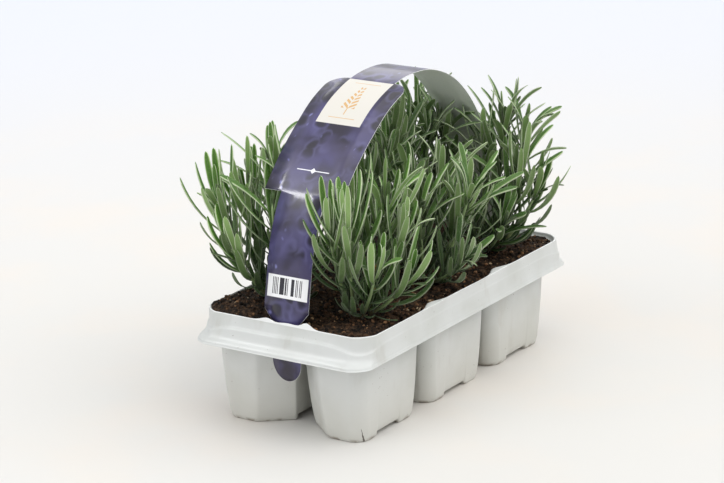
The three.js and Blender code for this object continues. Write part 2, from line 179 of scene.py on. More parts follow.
def add_area_light(name, place, size, power, color):
    """A soft box that faces the tray's middle."""
    light = bpy.data.lights.new(name, "AREA")
    light.shape = "ELLIPSE"
    light.size, light.size_y = size
    light.energy = power
    light.color = color
    lamp = bpy.data.objects.new(name, light)
    target = Vector((0, 0, 0.08))
    aim = (Vector(place) - target).to_track_quat("Z", "Y")
    lamp.matrix_world = Matrix.Translation(place) @ aim.to_matrix().to_4x4()
    bpy.context.scene.collection.objects.link(lamp)
    return lamp


def add_soft_sun(name, toward, width, strength, color):
    """An even light from far away, seen under an angle of some width in radians."""
    data = bpy.data.lights.new(name, "SUN")
    data.angle = width
    data.energy = strength
    data.color = color
    lamp = bpy.data.objects.new(name, data)
    lamp.rotation_euler = Vector(toward).to_track_quat("Z", "Y").to_euler()
    bpy.context.scene.collection.objects.link(lamp)
    return lamp


def light_studio():
    """A pale surround that is darker behind the camera, soft light from above and both sides, and
    two lamps that only make the card and the leaves shine."""
    scene = bpy.context.scene
    scene.view_settings.view_transform = "Standard"
    world = bpy.data.worlds.new("studio")
    scene.world = world
    world.use_nodes = True
    tree = world.node_tree
    surround = tree.nodes["Background"]
    surround.inputs["Color"].default_value = (0.95, 0.97, 1.0, 1)
    outward = tree.nodes.new("ShaderNodeTexCoord").outputs["Generated"]
    behind = node_of("ShaderNodeVectorMath", {0: outward, 1: (-0.83, -0.55, 0.0)},
                     operation="DOT_PRODUCT")
    feed(surround.inputs["Strength"], fade(behind.outputs["Value"], 0.3, 0.95, 0.64, 0.22))
    add_soft_sun("overhead", (0.1, -0.35, 1.0), 1.4, 1.75, (1.0, 0.99, 0.97))
    right = add_soft_sun("right_fill", (0.2, -1.0, 0.6), 1.3, 0.52, (1.0, 0.985, 0.96))
    right.visible_glossy = False
    left = add_soft_sun("left_fill", (-1.0, 0.25, 0.5), 1.2, 0.92, (0.98, 0.99, 1.0))
    left.visible_glossy = False
    glint = add_area_light("card_glint", (-0.76, 0.79, 1.09), (1.0, 0.2), 13, (1.0, 1.0, 1.0))
    glint.visible_diffuse = False
    sheen = add_area_light("top_sheen", (1.5, 1.0, 0.95), (1.6, 0.7), 4.5, (1.0, 1.0, 1.0))
    sheen.visible_diffuse = False


def lay_floor():
    """A wide pale floor, a little warmer near the tray than far from it."""
    bm = bmesh.new()
    bmesh.ops.create_grid(bm, x_segments=8, y_segments=8, size=12)
    mesh = bpy.data.meshes.new("floor")
    bm.to_mesh(mesh)
    bm.free()
    floor = bpy.data.objects.new("floor", mesh)
    floor.data.materials.append(floor_paper())
    bpy.context.scene.collection.objects.link(floor)


# ---- Node helpers ----

# Each helper adds a node to the tree that its inputs belong to, and gives the node's output. An
# input is an output of another node or a plain value. A colour has channels from 0 to 255.


def srgb(red, green, blue):
    """A colour from 0 to 255 as the shader's own linear colour."""
    channels = [c / 255 for c in (red, green, blue)]
    linear = [c / 12.92 if c <= 0.04045 else ((c + 0.055) / 1.055) ** 2.4 for c in channels]
    return (*linear, 1)


def is_output(value):
    return isinstance(value, bpy.types.NodeSocket)


def feed(socket, value):
    """Links a socket to an output, or sets its value."""
    if is_output(value):
        socket.id_data.links.new(value, socket)
    else:
        socket.default_value = value


def node_of(kind, inputs, **settings):
    """A node with its settings made and its inputs, by name or number, fed."""
    tree = next(value.id_data for value in inputs.values() if is_output(value))
    node = tree.nodes.new(kind)
    for name, setting in settings.items():
        setattr(node, name, setting)
    for name, value in inputs.items():
        feed(node.inputs[name], value)
    return node


def math_of(operation, first, *others):
    """An operation on one value, or on some values in turn from the first."""
    for other in others or (0.0,):
        node = node_of("ShaderNodeMath", {0: first, 1: other}, operation=operation)
        first = node.outputs[0]
    return first


def times(*values):
    return math_of("MULTIPLY", *values)


def fade(value, low, high, start=0.0, end=1.0):
    """Goes smoothly from start to end while the value goes from low to high."""
    inputs = {"Value": value, "From Min": low, "From Max": high, "To Min": start, "To Max": end}
    node = node_of("ShaderNodeMapRange", inputs, interpolation_type="SMOOTHSTEP")
    return node.outputs["Result"]


def band(value, low, high, edge=0.0002):
    """1 between low and high, and 0 outside them."""
    rise = fade(value, low - edge / 2, low + edge / 2)
    fall = fade(value, high - edge / 2, high + edge / 2, 1.0, 0.0)
    return times(rise, fall)


def blended(share, first, second):
    """From the first colour to the second by a share."""
    first, second = (srgb(*c) if isinstance(c, tuple) else c for c in (first, second))
    return node_of("ShaderNodeMix", {0: share, 6: first, 7: second}, data_type="RGBA").outputs[2]


def painted(tone, *layers):
    """A ground colour with other colours laid over it in turn, each by its share."""
    for share, colour in layers:
        tone = blended(share, tone, colour)
    return tone


def noise_of(vector, scale, detail=3.0, roughness=0.5):
    inputs = {"Vector": vector, "Scale": scale, "Detail": detail, "Roughness": roughness}
    return node_of("ShaderNodeTexNoise", inputs).outputs["Fac"]


def noise_vector(vector, scale, amount):
    """The vector pushed about by a smooth noise."""
    push = node_of("ShaderNodeTexNoise", {"Vector": vector, "Scale": scale}).outputs["Color"]
    inputs = {0: push, 1: (amount, amount, 0), 2: vector}
    return node_of("ShaderNodeVectorMath", inputs, operation="MULTIPLY_ADD").outputs[0]


def cells_of(vector, scale):
    """Distance to the nearest of some scattered points."""
    return node_of("ShaderNodeTexVoronoi", {"Vector": vector, "Scale": scale}).outputs["Distance"]


def stretched(vector, scale, turn=(0, 0, 0)):
    inputs = {"Vector": vector, "Scale": scale, "Rotation": turn}
    return node_of("ShaderNodeMapping", inputs).outputs["Vector"]


def parts_of(vector):
    return node_of("ShaderNodeSeparateXYZ", {0: vector}).outputs


def attribute_of(shader, name):
    """The three parts of what a piece's mesh keeps under a name."""
    node = shader.id_data.nodes.new("ShaderNodeAttribute")
    node.attribute_name = name
    return parts_of(node.outputs["Vector"])


def new_material(name, **sockets):
    """A material, its shader with the values that are the same all over, and the place on the
    object in metres."""
    material = bpy.data.materials.new(name)
    material.use_nodes = True
    nodes = material.node_tree.nodes
    shader = nodes["Principled BSDF"]
    for socket, value in sockets.items():
        socket_name = socket.replace("_", " ").title().replace("Ior", "IOR")
        shader.inputs[socket_name].default_value = value
    return material, shader, nodes.new("ShaderNodeTexCoord").outputs["Object"]


def surface(shader, tone, height=None, distance=0.0, strength=1.0):
    """Gives a shader its colour and its fine relief."""
    feed(shader.inputs["Base Color"], tone)
    if height:
        inputs = {"Strength": strength, "Distance": distance, "Height": height}
        feed(shader.inputs["Normal"], node_of("ShaderNodeBump", inputs).outputs["Normal"])


# ---- Materials ----

# A split in the near corner's foot: its height, its sideways lean, its shift from the corner, and
# how far from the corner it may be.
SPLIT = {"height": 10.5, "lean": 0.35, "shift": 4.2, "reach": 22}


def floor_paper():
    material, shader, place = new_material("floor_paper", Roughness=0.75)
    x, y, _ = parts_of(place)
    far = fade(math_of("SQRT", math_of("ADD", times(x, x), times(y, y))), 0.15, 1.6)
    patches = fade(noise_of(place, 7.0, 4.0), 0.42, 0.7, 0.0, 0.35)
    near_patches = times(patches, fade(far, 0.1, 0.6, 1.0, 0.0))
    tone = painted((222, 220, 216), (far, (219, 222, 231)), (near_patches, (232, 221, 209)))
    surface(shader, tone, noise_of(place, 300.0, 2.0), 0.0002, 0.15)
    return material


def tray_plastic():
    """Off-white formed sheet: a little clouded, scuffed at its feet, darker and warmer towards the
    ground as painted shade and floor bounce, with a painted highlight along the top of the lip.
    """
    material, shader, place = new_material("tray_plastic", Specular_ior_level=0.42, Ior=1.49)
    _, _, z = parts_of(place)
    clouds = noise_of(place, 28.0, 3.0)
    # Painted shade with warm floor bounce: the sheet is darker and warmer towards the ground.
    low = fade(z, 0.0, 0.055, 1.0, 0.0)
    smear = fade(noise_of(stretched(place, (1, 1, 0.35)), 75.0, 5.0), 0.56, 0.72)
    specks = times(fade(noise_of(place, 520.0, 2.0), 0.69, 0.76),
                   fade(noise_of(place, 45.0, 2.0), 0.5, 0.62))
    foot_dirt = times(fade(z, 0.0003, 0.0032, 0.8, 0.0),
                      fade(noise_of(place, 130.0, 4.0), 0.46, 0.62))
    # Painted highlight: a pale line along the top of the lip.
    rim = fade(z, 0.0783, 0.0788, 0.0, 0.8)
    tone = painted((212, 214, 212), (fade(clouds, 0.35, 0.7), (203, 205, 201)),
                   (times(low, 0.5), (200, 197, 186)), (times(smear, 0.16), (150, 138, 118)),
                   (times(specks, 0.55), (96, 78, 58)), (foot_dirt, (120, 104, 84)),
                   (split_mark(place), (58, 44, 34)), (rim, (246, 247, 246)))
    feed(shader.inputs["Roughness"], fade(clouds, 0.3, 0.7, 0.38, 0.52))
    waves = noise_of(stretched(place, (1, 1, 0.4)), 60.0, 2.0)
    height = math_of("ADD", times(noise_of(place, 900.0, 2.0), 0.12), waves)
    surface(shader, tone, height, 0.0006, 0.35)
    return material


def split_mark(place):
    """A short soiled split that runs up from the foot of the tray's nearest corner."""
    corner = TO_FRAME @ Vector((CELL_MIDDLE_X - PITCH_X - CELL_HALF_LENGTH,
                                -CELL_ROW_Y - CELL_HALF_WIDTH, 0))
    x, y, z = parts_of(place)
    from_x = math_of("SUBTRACT", x, corner.x)
    from_y = math_of("SUBTRACT", y, corner.y)
    wobble = fade(noise_of(place, 400.0, 2.0), 0.3, 0.7, -0.0003, 0.0003)
    off = math_of("ADD", math_of("SUBTRACT", from_x, from_y), times(z, SPLIT["lean"]), wobble)
    off = math_of("ABSOLUTE", math_of("SUBTRACT", off, SPLIT["shift"] * MM))
    width = fade(z, 0.0, SPLIT["height"] * MM, 0.0010, 0.0002)
    away = math_of("ADD", math_of("ABSOLUTE", from_x), math_of("ABSOLUTE", from_y))
    return times(math_of("LESS_THAN", off, width),
                 math_of("LESS_THAN", z, SPLIT["height"] * MM),
                 math_of("LESS_THAN", away, SPLIT["reach"] * MM), 0.85)


def moist_soil():
    """Dark peat with reddish fibres and pale crumbs."""
    material, shader, place = new_material("moist_soil", Roughness=0.92, Specular_ior_level=0.25)
    tint, _, _ = attribute_of(shader, "crumb")
    coarse = fade(noise_of(place, 150.0, 5.0, 0.7), 0.36, 0.64)
    red = times(fade(cells_of(place, 300.0), 0.0, 0.3, 1.0, 0.0),
                fade(noise_of(place, 70.0, 2.0), 0.48, 0.62), 0.75)
    dark = fade(noise_of(place, 340.0, 3.0), 0.5, 0.6)
    tone = painted((18, 13, 9), (coarse, (88, 66, 48)), (red, (118, 78, 52)),
                   (times(dark, 0.7), (14, 9, 7)), (fade(tint, 0.5, 0.8), (96, 70, 50)),
                   (fade(tint, 0.84, 0.9), (150, 112, 80)),
                   (fade(tint, 0.955, 0.97), (188, 166, 136)))
    surface(shader, tone, noise_of(place, 700.0, 4.0, 0.7), 0.0015)
    return material


def leaf_green():
    """Felted leaf: grey-green with pale rolled margins and a darker groove, with painted shade on
    inner leaves and near the soil.
    """
    material, shader, place = new_material(
        "leaf_green", Roughness=0.55, Specular_ior_level=0.32, Subsurface_weight=0.1,
        Subsurface_radius=(0.002, 0.003, 0.001), Subsurface_scale=1.0,
        Sheen_weight=0.12, Sheen_roughness=0.45, Sheen_tint=(0.88, 0.96, 0.84, 1))
    across, along, fresh = attribute_of(shader, "leaf_place")
    # inner is the leaf's share of painted shade, for the shadow inside the plant.
    upper, shade, inner = attribute_of(shader, "leaf_look")
    _, _, z = parts_of(place)
    edge = math_of("ABSOLUTE", across)
    groove = times(fade(edge, 0.3, 0.66, 1.0, 0.0), upper)
    margin = fade(edge, 0.66, 0.86)
    base = fade(along, 0.0, 0.3, 1.0, 0.0)
    felt = fade(noise_of(place, 1400.0, 2.0), 0.4, 0.7)
    # Painted shade: leaves are darker the nearer they are to the soil.
    low = fade(z, 0.085, 0.150, 0.45, 0.0)
    tone = painted((62, 98, 36), (shade, (120, 154, 82)), (fresh, (106, 158, 46)))
    under = blended(0.5, tone, (164, 184, 132))
    tone = painted(blended(upper, under, tone), (times(groove, 0.6), (50, 84, 30)),
                   (times(margin, 0.95), (218, 231, 194)), (times(base, 0.5), (116, 152, 70)),
                   (times(inner, 0.8), (12, 30, 4)), (times(felt, 0.12), (186, 206, 160)),
                   (low, (30, 50, 20)))
    surface(shader, tone, noise_of(place, 1600.0, 2.0), 0.0003, 0.5)
    return material


def stem_green():
    """Young stem: pale felted green above, brown and woody at its foot."""
    material, shader, place = new_material(
        "stem_green", Roughness=0.7, Specular_ior_level=0.3,
        Sheen_weight=0.15, Sheen_roughness=0.5)
    _, along, _ = attribute_of(shader, "leaf_place")
    streaks = noise_of(stretched(place, (1, 1, 0.2)), 700.0, 3.0)
    tone = painted((104, 92, 62), (fade(along, 0.05, 0.45), (132, 154, 100)),
                   (fade(along, 0.4, 1.0, 0.0, 0.7), (160, 184, 132)),
                   (fade(streaks, 0.4, 0.7, 0.0, 0.4), (84, 96, 58)))
    surface(shader, tone, streaks, 0.0003, 0.6)
    return material


def withered_leaf():
    material, shader, place = new_material("withered_leaf", Roughness=0.8)
    _, along, _ = attribute_of(shader, "leaf_place")
    brown = fade(noise_of(place, 260.0, 4.0), 0.45, 0.65)
    tone = painted((138, 146, 62), (fade(along, 0.1, 0.8), (176, 136, 58)),
                   (times(brown, 0.7), (104, 70, 38)))
    surface(shader, tone, noise_of(place, 500.0, 3.0), 0.0006, 0.8)
    return material


def card_white():
    """The strip's unprinted edge."""
    material, shader, place = new_material("card_white", Roughness=0.6)
    fibre = noise_of(place, 900.0, 3.0)
    surface(shader, blended(fibre, (246, 246, 246), (230, 230, 232)))
    return material


def card_grey():
    """The strip's unprinted underside."""
    material, shader, place = new_material("card_grey", Roughness=0.55)
    fibre = noise_of(stretched(place, (1, 3, 1)), 500.0, 4.0)
    surface(shader, blended(fibre, (236, 238, 230), (218, 222, 214)), fibre, 0.0002, 0.3)
    return material


# Places on the strip's printed side, in millimetres: along it from its front end, and across it.
LABEL = {"start": 187, "end": 235.5, "half_width": 17.9}
# The label's sprig and lines: distances from the label's start or end, and half sizes across.
SPRIG = {"stalk_start": 9, "buds_start": 15, "buds_end": 8, "low_reach": 5.5, "top_reach": 1.8,
         "bud_pitch": 4.2, "stalk": 0.4, "gap": 0.5}
LINES = {"start": 5.5, "end": 5.0, "width": 0.5, "reach": 10.5}
RULE = {"start": 147, "width": 0.7, "reach": 13, "lozenge": 2.2}
CODE_BOX = {"start": 58, "end": 73.2, "left": -16.2, "right": 16.4}
BARS = {"start": 2.2, "end": 1.6, "left": 4, "right": 3, "width": 0.62}  # inside the code box


def card_print():
    """Glossy violet print of soft blots and bright flecks, with a cream label and a bar code."""
    material, shader, _ = new_material(
        "card_print", Roughness=0.42, Specular_ior_level=0.35, Coat_weight=0.5,
        Coat_roughness=0.13)
    node = material.node_tree.nodes.new("ShaderNodeUVMap")
    node.uv_map = "flat_card"
    flat = node.outputs["UV"]
    along, across, _ = parts_of(flat)
    tone = label_print(along, across, violet_blots(flat))
    tone = code_print(along, across, tone)
    surface(shader, tone, noise_of(flat, 14.0, 1.0), 0.004, 0.03)
    return material


def violet_blots(flat):
    """Blurred round shapes, as of a photograph out of focus, in violet and indigo."""
    warp = noise_vector(flat, 60.0, 0.012)
    drift = fade(noise_of(warp, 34.0, 2.0), 0.36, 0.64)
    haze = fade(noise_of(warp, 21.0, 1.0), 0.5, 0.66)
    blots = cells_of(stretched(warp, (1, 1.25, 1), (0, 0, 0.5)), 78.0)
    where = fade(noise_of(flat, 30.0, 1.0), 0.42, 0.54)
    dark = times(fade(blots, 0.22, 0.5, 1.0, 0.0), where)
    rims = times(band(blots, 0.42, 0.6, 0.2), where)
    flecks = cells_of(stretched(warp, (1, 1.6, 1), (0, 0, 0.9)), 95.0)
    some = fade(noise_of(flat, 70.0, 2.0), 0.5, 0.6)
    bright = times(fade(flecks, 0.04, 0.24, 1.0, 0.0), some)
    return painted((38, 32, 52), (drift, (77, 72, 116)), (times(haze, 0.55), (72, 66, 88)),
                   (times(dark, 0.9), (34, 30, 44)), (times(rims, 0.22), (116, 114, 164)),
                   (times(bright, 0.8), (138, 138, 200)))


def in_metres(sizes):
    return [size * MM for size in sizes.values()]


def label_print(along, across, tone):
    """A cream label with an ochre sprig between two fine lines, and further down the strip a
    plain rule with a lozenge."""
    start, end, half = in_metres(LABEL)
    stalk_start, buds_start, buds_end, low_reach, top_reach, pitch, stalk_half, gap = (
        in_metres(SPRIG))
    line_start, line_end, line_width, line_reach = in_metres(LINES)
    rule_start, rule_width, rule_reach, lozenge_reach = in_metres(RULE)
    side = math_of("ABSOLUTE", across)
    paper = times(band(along, start, end), band(side, -1.0, half))
    low, top = start + buds_start, end - buds_end
    slanted = math_of("SUBTRACT", along, times(side, 0.8))
    buds = times(band(along, low, top),
                 math_of("LESS_THAN", side, fade(along, low, top, low_reach, top_reach)),
                 math_of("GREATER_THAN", side, gap),
                 math_of("LESS_THAN", math_of("FRACT", times(slanted, 1 / pitch)), 0.55))
    stalk = times(band(along, start + stalk_start, low + MM),
                  math_of("LESS_THAN", side, stalk_half))
    first, last = (band(along, low_edge, low_edge + line_width)
                   for low_edge in (start + line_start, end - line_end))
    lines = times(math_of("LESS_THAN", side, line_reach), math_of("ADD", first, last))
    rule = times(band(along, rule_start, rule_start + rule_width),
                 math_of("LESS_THAN", side, rule_reach))
    from_rule = math_of("SUBTRACT", along, rule_start + rule_width / 2)
    lozenge = math_of("LESS_THAN", math_of("ADD", side, math_of("ABSOLUTE", from_rule)),
                      lozenge_reach)
    ochre = (216, 168, 96)
    return painted(tone, (paper, (226, 222, 213)), (times(buds, 0.9), ochre),
                   (times(stalk, 0.9), ochre), (times(lines, 0.9), ochre),
                   (math_of("MAXIMUM", rule, lozenge), (244, 244, 250)))


def code_print(along, across, tone):
    """A pale box of plain bars, as on any pack."""
    start, end, left, right = in_metres(CODE_BOX)
    from_start, from_end, from_left, from_right, bar = in_metres(BARS)
    box = times(band(along, start, end), band(across, left, right))
    step = math_of("FLOOR", times(across, 1 / bar))
    chance = node_of("ShaderNodeTexWhiteNoise", {"W": step}, noise_dimensions="1D")
    bars = times(math_of("GREATER_THAN", chance.outputs["Value"], 0.5),
                 band(along, start + from_start, end - from_end),
                 band(across, left + from_left, right - from_right))
    return painted(tone, (box, (246, 246, 247)), (bars, (44, 42, 50)))


# ---- Helpers for making pieces ----


def finish_piece(name, bm, materials, nodes):
    """Turns a mesh into a piece of the object: in place, smooth, riding on the body that holds
    everything."""
    bmesh.ops.transform(bm, matrix=TO_FRAME, verts=bm.verts)
    mesh = bpy.data.meshes.new(name)
    bm.to_mesh(mesh)
    bm.free()
    for material in materials:
        mesh.materials.append(material)
    mesh.shade_smooth()
    piece = bpy.data.objects.new(name, mesh)
    bpy.context.scene.collection.objects.link(piece)
    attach(piece, "root")
    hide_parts(*nodes)
    return piece


def quarter_turn(steps):
    """Angles from 0 to a right angle in even steps."""
    return [step / steps * math.pi / 2 for step in range(steps + 1)]


OUTLINE_SPACING = 5.0  # between the points of an outline's straight stretches
CRISP_DISTANCE = 0.9  # from the end of a straight stretch to the point beside it


def outline(half_x, half_y, corners):
    """A rectangle's outline with softened corners. Each corner, from (+X, -Y) round, has its
    reach along X and along Y and its flatness, from 0 for round to 1 for a straight cut.
    Straight stretches have a point close to each end, which keeps their corners crisp."""
    signs = [(1, -1), (1, 1), (-1, 1), (-1, -1)]
    points = []
    for quarter, ((sign_x, sign_y), corner) in enumerate(zip(signs, corners)):
        reach_x, reach_y, flatness = corner
        start, end = (Vector((math.cos(k * math.pi / 2), math.sin(k * math.pi / 2)))
                      for k in (quarter - 1, quarter))
        steps = 1 if flatness == 1 else 8
        for i in range(steps + 1):
            angle = (quarter - 1 + i / steps) * math.pi / 2
            arc = Vector((math.cos(angle), math.sin(angle))).lerp(
                start.lerp(end, i / steps), flatness)
            points.append(Vector((sign_x * (half_x - reach_x) + reach_x * arc.x,
                                  sign_y * (half_y - reach_y) + reach_y * arc.y)))
    dense = []
    for i, point in enumerate(points):
        following = points[(i + 1) % len(points)]
        length = (following - point).length
        shares = [0]
        if length > 1.5 * OUTLINE_SPACING:
            pieces = round(length / OUTLINE_SPACING)
            near = CRISP_DISTANCE / length
            shares += [near] + [k / pieces for k in range(1, pieces)] + [1 - near]
        dense += [point.lerp(following, share) for share in shares]
    return dense


def add_ring(bm, points, z):
    """A closed ring of edges at one height."""
    verts = [bm.verts.new((p.x, p.y, z)) for p in points]
    return [bm.edges.new((verts[i - 1], verts[i])) for i in range(len(verts))]


def grow_ring(bm, edges, place):
    """Extrudes a ring and moves its new vertices with a function; gives the new edges."""
    made = bmesh.ops.extrude_edge_only(bm, edges=edges)["geom"]
    for vert in (item for item in made if isinstance(item, bmesh.types.BMVert)):
        vert.co = place(vert.co)
    return [item for item in made if isinstance(item, bmesh.types.BMEdge)]


def cut_across(bm, place, normal, clear=False):
    """Cuts the whole mesh with a plane, and with clear also removes what is beyond it."""
    everything = bm.verts[:] + bm.edges[:] + bm.faces[:]
    bmesh.ops.bisect_plane(bm, geom=everything, plane_co=place, plane_no=normal,
                           dist=0.0001, clear_outer=clear)


def face_up(bm):
    """Gives a sheet's faces one direction, upwards where it lies level."""
    bmesh.ops.recalc_face_normals(bm, faces=bm.faces)
    level = sum(face.normal.z * face.calc_area() for face in bm.faces
                if face.calc_center_median().z > SOIL_LEVEL - 4)
    if level < 0:
        bmesh.ops.reverse_faces(bm, faces=bm.faces)


# ---- Tray ----


def widened(grow_x, grow_y, z):
    """A function that moves a ring's point outwards on each side, to a height."""
    return lambda co: Vector((co.x + math.copysign(grow_x, co.x),
                              co.y + math.copysign(grow_y, co.y), z))


def grow_rings(bm, edges, half, rings):
    """Extrudes a ring through a list of (half length, half width, height)."""
    for half_x, half_y, z in rings:
        edges = grow_ring(bm, edges, widened(half_x - half[0], half_y - half[1], z))
        half = (half_x, half_y)
    return edges


# The skirt seen from its end: drop below the lip, and the share of its growth outwards there.
SKIRT = [(2.2, 0.03), (4.0, 0.08), (5.8, 0.15), (6.8, 0.19), (7.3, 0.26), (7.7, 0.35), (8.3, 0.41),
         (9.6, 0.44), (11.6, 0.49), (13.6, 0.55), (15.2, 0.63), (16.4, 0.75), (17.4, 0.89)]
LEDGE_DROP = 7.4
REAR_LIP_OUT = 4.2  # the lip of the rear end stands this much further out


def skirt_rings():
    """From the deck up the lip's inside, over the lip and down the flaring skirt."""
    rings = [(LIP_HALF_LENGTH - inset, LIP_HALF_WIDTH - inset, z)
             for inset, z in ((LIP_THICKNESS, 76.5), (LIP_THICKNESS, 78.2), (1.0, 78.8),
                              (0.55, LIP_HEIGHT), (0.15, 78.8), (0, 78.2))]
    for drop, share in SKIRT:
        rings.append((lerp(LIP_HALF_LENGTH, FLANGE_HALF_LENGTH, share),
                      lerp(LIP_HALF_WIDTH, FLANGE_HALF_WIDTH, share), LIP_HEIGHT - drop))
    for out, z in ((-0.25, 60.7), (0.15, 60.1), (0.3, 59.5), (0.2, 58.9), (-0.4, FLANGE_BOTTOM)):
        rings.append((FLANGE_HALF_LENGTH + out, FLANGE_HALF_WIDTH + out, z))
    return rings


def channel_height(x):
    """Height of the underside at a distance from the channel's middle."""
    flat = CHANNEL_HALF_WIDTH - CHANNEL_ROUNDING
    away = clamp((abs(x) - flat) / CHANNEL_ROUNDING)
    return CHANNEL_HEIGHT * math.sqrt(1 - away**3)


def cell_corners(plant, grow):
    """A cell's corners, with the straight cut on an end cell towards the tray's middle line."""
    centre = centre_of(plant, CELL_ROW_Y)
    corners = []
    for sign_x, sign_y in ((1, -1), (1, 1), (-1, 1), (-1, -1)):
        is_cut = sign_x * centre.x > 1 and sign_y * centre.y < 0
        reach_x, reach_y = CELL_END_CUT if is_cut else (CELL_CORNER, CELL_CORNER)
        corners.append((reach_x + grow, reach_y + grow, 1 if is_cut else 0.4))
    return corners


CELL_ROUNDING = 1.2  # where a cell's wall meets its floor
CELL_RINGS = (8, 20, 36, 52, 66, 71)  # heights on a cell's wall


def add_cell(bm, plant, inset):
    """A cell's wall and floor, shrunk by an inset."""
    centre = centre_of(plant, CELL_ROW_Y) + Vector((CELL_MIDDLE_X, 0, 0))
    side = math.copysign(1, centre.y)
    size = (CELL_HALF_LENGTH - inset, CELL_HALF_WIDTH - inset)
    start = (size[0] - CELL_ROUNDING, size[1] - CELL_ROUNDING)
    points = outline(*start, cell_corners(plant, -0.6 * CELL_ROUNDING))
    fresh = bmesh.new()
    floor_ring = add_ring(fresh, points, 0)
    drain = bmesh.ops.create_circle(fresh, segments=16, radius=DRAIN_RADIUS)["verts"]
    drain_ring = [e for e in fresh.edges if e.verts[0] in drain and e.verts[1] in drain]
    rings = [(size[0] - 0.35, size[1] - 0.35, 0.35), (*size, CELL_ROUNDING)]
    for z in (*CELL_RINGS, DECK_HEIGHT):
        rings.append((size[0] + CELL_FLARE * z, size[1] + CELL_FLARE * z, z))
    grow_rings(fresh, floor_ring, start, rings)
    bmesh.ops.triangle_fill(fresh, edges=floor_ring + drain_ring, use_beauty=True)
    flat = CHANNEL_HALF_WIDTH - CHANNEL_ROUNDING
    for angle in quarter_turn(5):
        x = flat + CHANNEL_ROUNDING * math.sin(angle)
        cut_across(fresh, (CHANNEL_MIDDLE + x, 0, 0), (1, 0, 0))
        cut_across(fresh, (CHANNEL_MIDDLE - x, 0, 0), (1, 0, 0))
    for vert in fresh.verts:
        x, y, z = vert.co
        low = channel_height(x - CHANNEL_MIDDLE) + inset
        steeper = side * (CELL_OUTER_FLARE - CELL_FLARE) * z if side * y > 0 else 0
        vert.co = centre + Vector((x, y + steeper, lerp(low, z, z / DECK_HEIGHT)))
    merge_into(bm, fresh)


def merge_into(bm, fresh):
    """Adds one mesh to another."""
    mesh = bpy.data.meshes.new("joined")
    fresh.to_mesh(mesh)
    fresh.free()
    bm.from_mesh(mesh)
    bpy.data.meshes.remove(mesh)


def shape_skirt(co):
    """The unevenness of the formed sheet: the ledge that drops at the corners, the lip's bumps
    beside the handle, and the webs between the cells that show at the long sides."""
    x, y, z = co
    moved = co.copy()
    if abs(z - DECK_HEIGHT) < 0.01:
        return moved
    at_corner = hill(abs(x), LIP_HALF_LENGTH + 4, 15) * hill(abs(y), LIP_HALF_WIDTH + 2, 19)
    corner_drop = 0.75 if y < 0 else 1.1
    ledge = LEDGE_DROP * (1 + corner_drop * at_corner + 0.10 * math.sin(y / 19 + 0.6))
    drop, full = LIP_HEIGHT - z, LIP_HEIGHT - FLANGE_TOP
    if 0.9 < drop < full:
        if drop < LEDGE_DROP:
            shifted = drop * ledge / LEDGE_DROP
        else:
            shifted = lerp(ledge, full, (drop - LEDGE_DROP) / (full - LEDGE_DROP))
        moved.z = LIP_HEIGHT - shifted
    scoop = 1.8 * at_corner * clamp((drop - 1) / 5) * clamp((17 - drop) / 4) if x < 0 else 0
    moved.x -= math.copysign(scoop * 0.7, x)
    moved.y -= math.copysign(scoop * 0.5, y)
    moved.x += REAR_LIP_OUT * clamp((x - 110) / 12) * clamp((18 - drop) / 12)
    top = clamp((z - DECK_HEIGHT - 0.3) / 3.5)
    if abs(x) > LIP_HALF_LENGTH - 3:
        moved.z += top * lip_bumps(y if x < 0 else -y)
    inside = abs(y) < LIP_HALF_WIDTH - 0.8 and z > DECK_HEIGHT + 1
    if inside:
        web = max(hill(x, -PITCH_X / 2, 9), hill(x, PITCH_X / 2, 9))
        moved.y -= math.copysign(6.0 * web * top, y)
    moved.z += 0.35 * noise.noise(Vector((x / 34, y / 34, 0))) * top
    return moved


def lip_bumps(y):
    """How far the lip of a tray's end rises beside the handle."""
    left = 3.4 * hill(y, 11.2, 6 if y > 11.2 else 2.2)
    right = 5.6 * hill(y, -20, 3.5)
    return left + right + 1.5 * hill(y, -5, 6.5)


def add_slots(bm):
    """The two slots in the deck, as rings of edges."""
    points = outline(SLOT_HALF_THICKNESS, SLOT_HALF_WIDTH, [(0.6, 0.6, 0)] * 4)
    for end in (-1, 1):
        add_ring(bm, [Vector((p.x + end * SLOT_X, p.y)) for p in points], DECK_HEIGHT)


def build_tray(plastic):
    bm = bmesh.new()
    half = (LIP_HALF_LENGTH - LIP_THICKNESS, LIP_HALF_WIDTH - LIP_THICKNESS)
    deck_ring = add_ring(bm, outline(*half, [(TRAY_CORNER, TRAY_CORNER, 0.45)] * 4), DECK_HEIGHT)
    grow_rings(bm, deck_ring, half, skirt_rings())
    for vert in bm.verts:
        vert.co = shape_skirt(vert.co)
    add_slots(bm)
    for plant in SHOOTS:
        add_cell(bm, plant, SHEET)
    deck_edges = [e for e in bm.edges if (e.is_boundary or e.is_wire)
                  and all(abs(v.co.z - DECK_HEIGHT) < 0.05 for v in e.verts)]
    bmesh.ops.triangle_fill(bm, edges=deck_edges, use_beauty=True)
    face_up(bm)
    tray = finish_piece("tray_shell", bm, [plastic], ["tray"])
    wall = tray.modifiers.new("wall", "SOLIDIFY")
    wall.thickness = SHEET * MM
    wall.offset = -1
    smooth = tray.modifiers.new("smooth", "SUBSURF")
    smooth.levels = smooth.render_levels = 1


# ---- Soil ----


def soil_height(x, y):
    away = math.hypot(x - MOUND["x"], y - MOUND["y"]) / MOUND["spread"]
    ripple = 0.5 * math.sin(0.21 * x + 1) * math.cos(0.17 * y)
    return SOIL_LEVEL + MOUND["height"] * math.exp(-away * away) + ripple


def soil_relief(x, y):
    """Height of the crumbly surface above the even one."""
    clods = noise.fractal(Vector((x / 8, y / 8, 3.1)), 1.0, 2.0, 4)
    grain = noise.noise(Vector((x / 1.5, y / 1.5, 8.4)))
    heap = 2.2 * hill(math.hypot(x - MOUND["x"] - 4, y - MOUND["y"] - 8), 0, 15)
    return 1.5 * clods + 0.8 * grain + heap


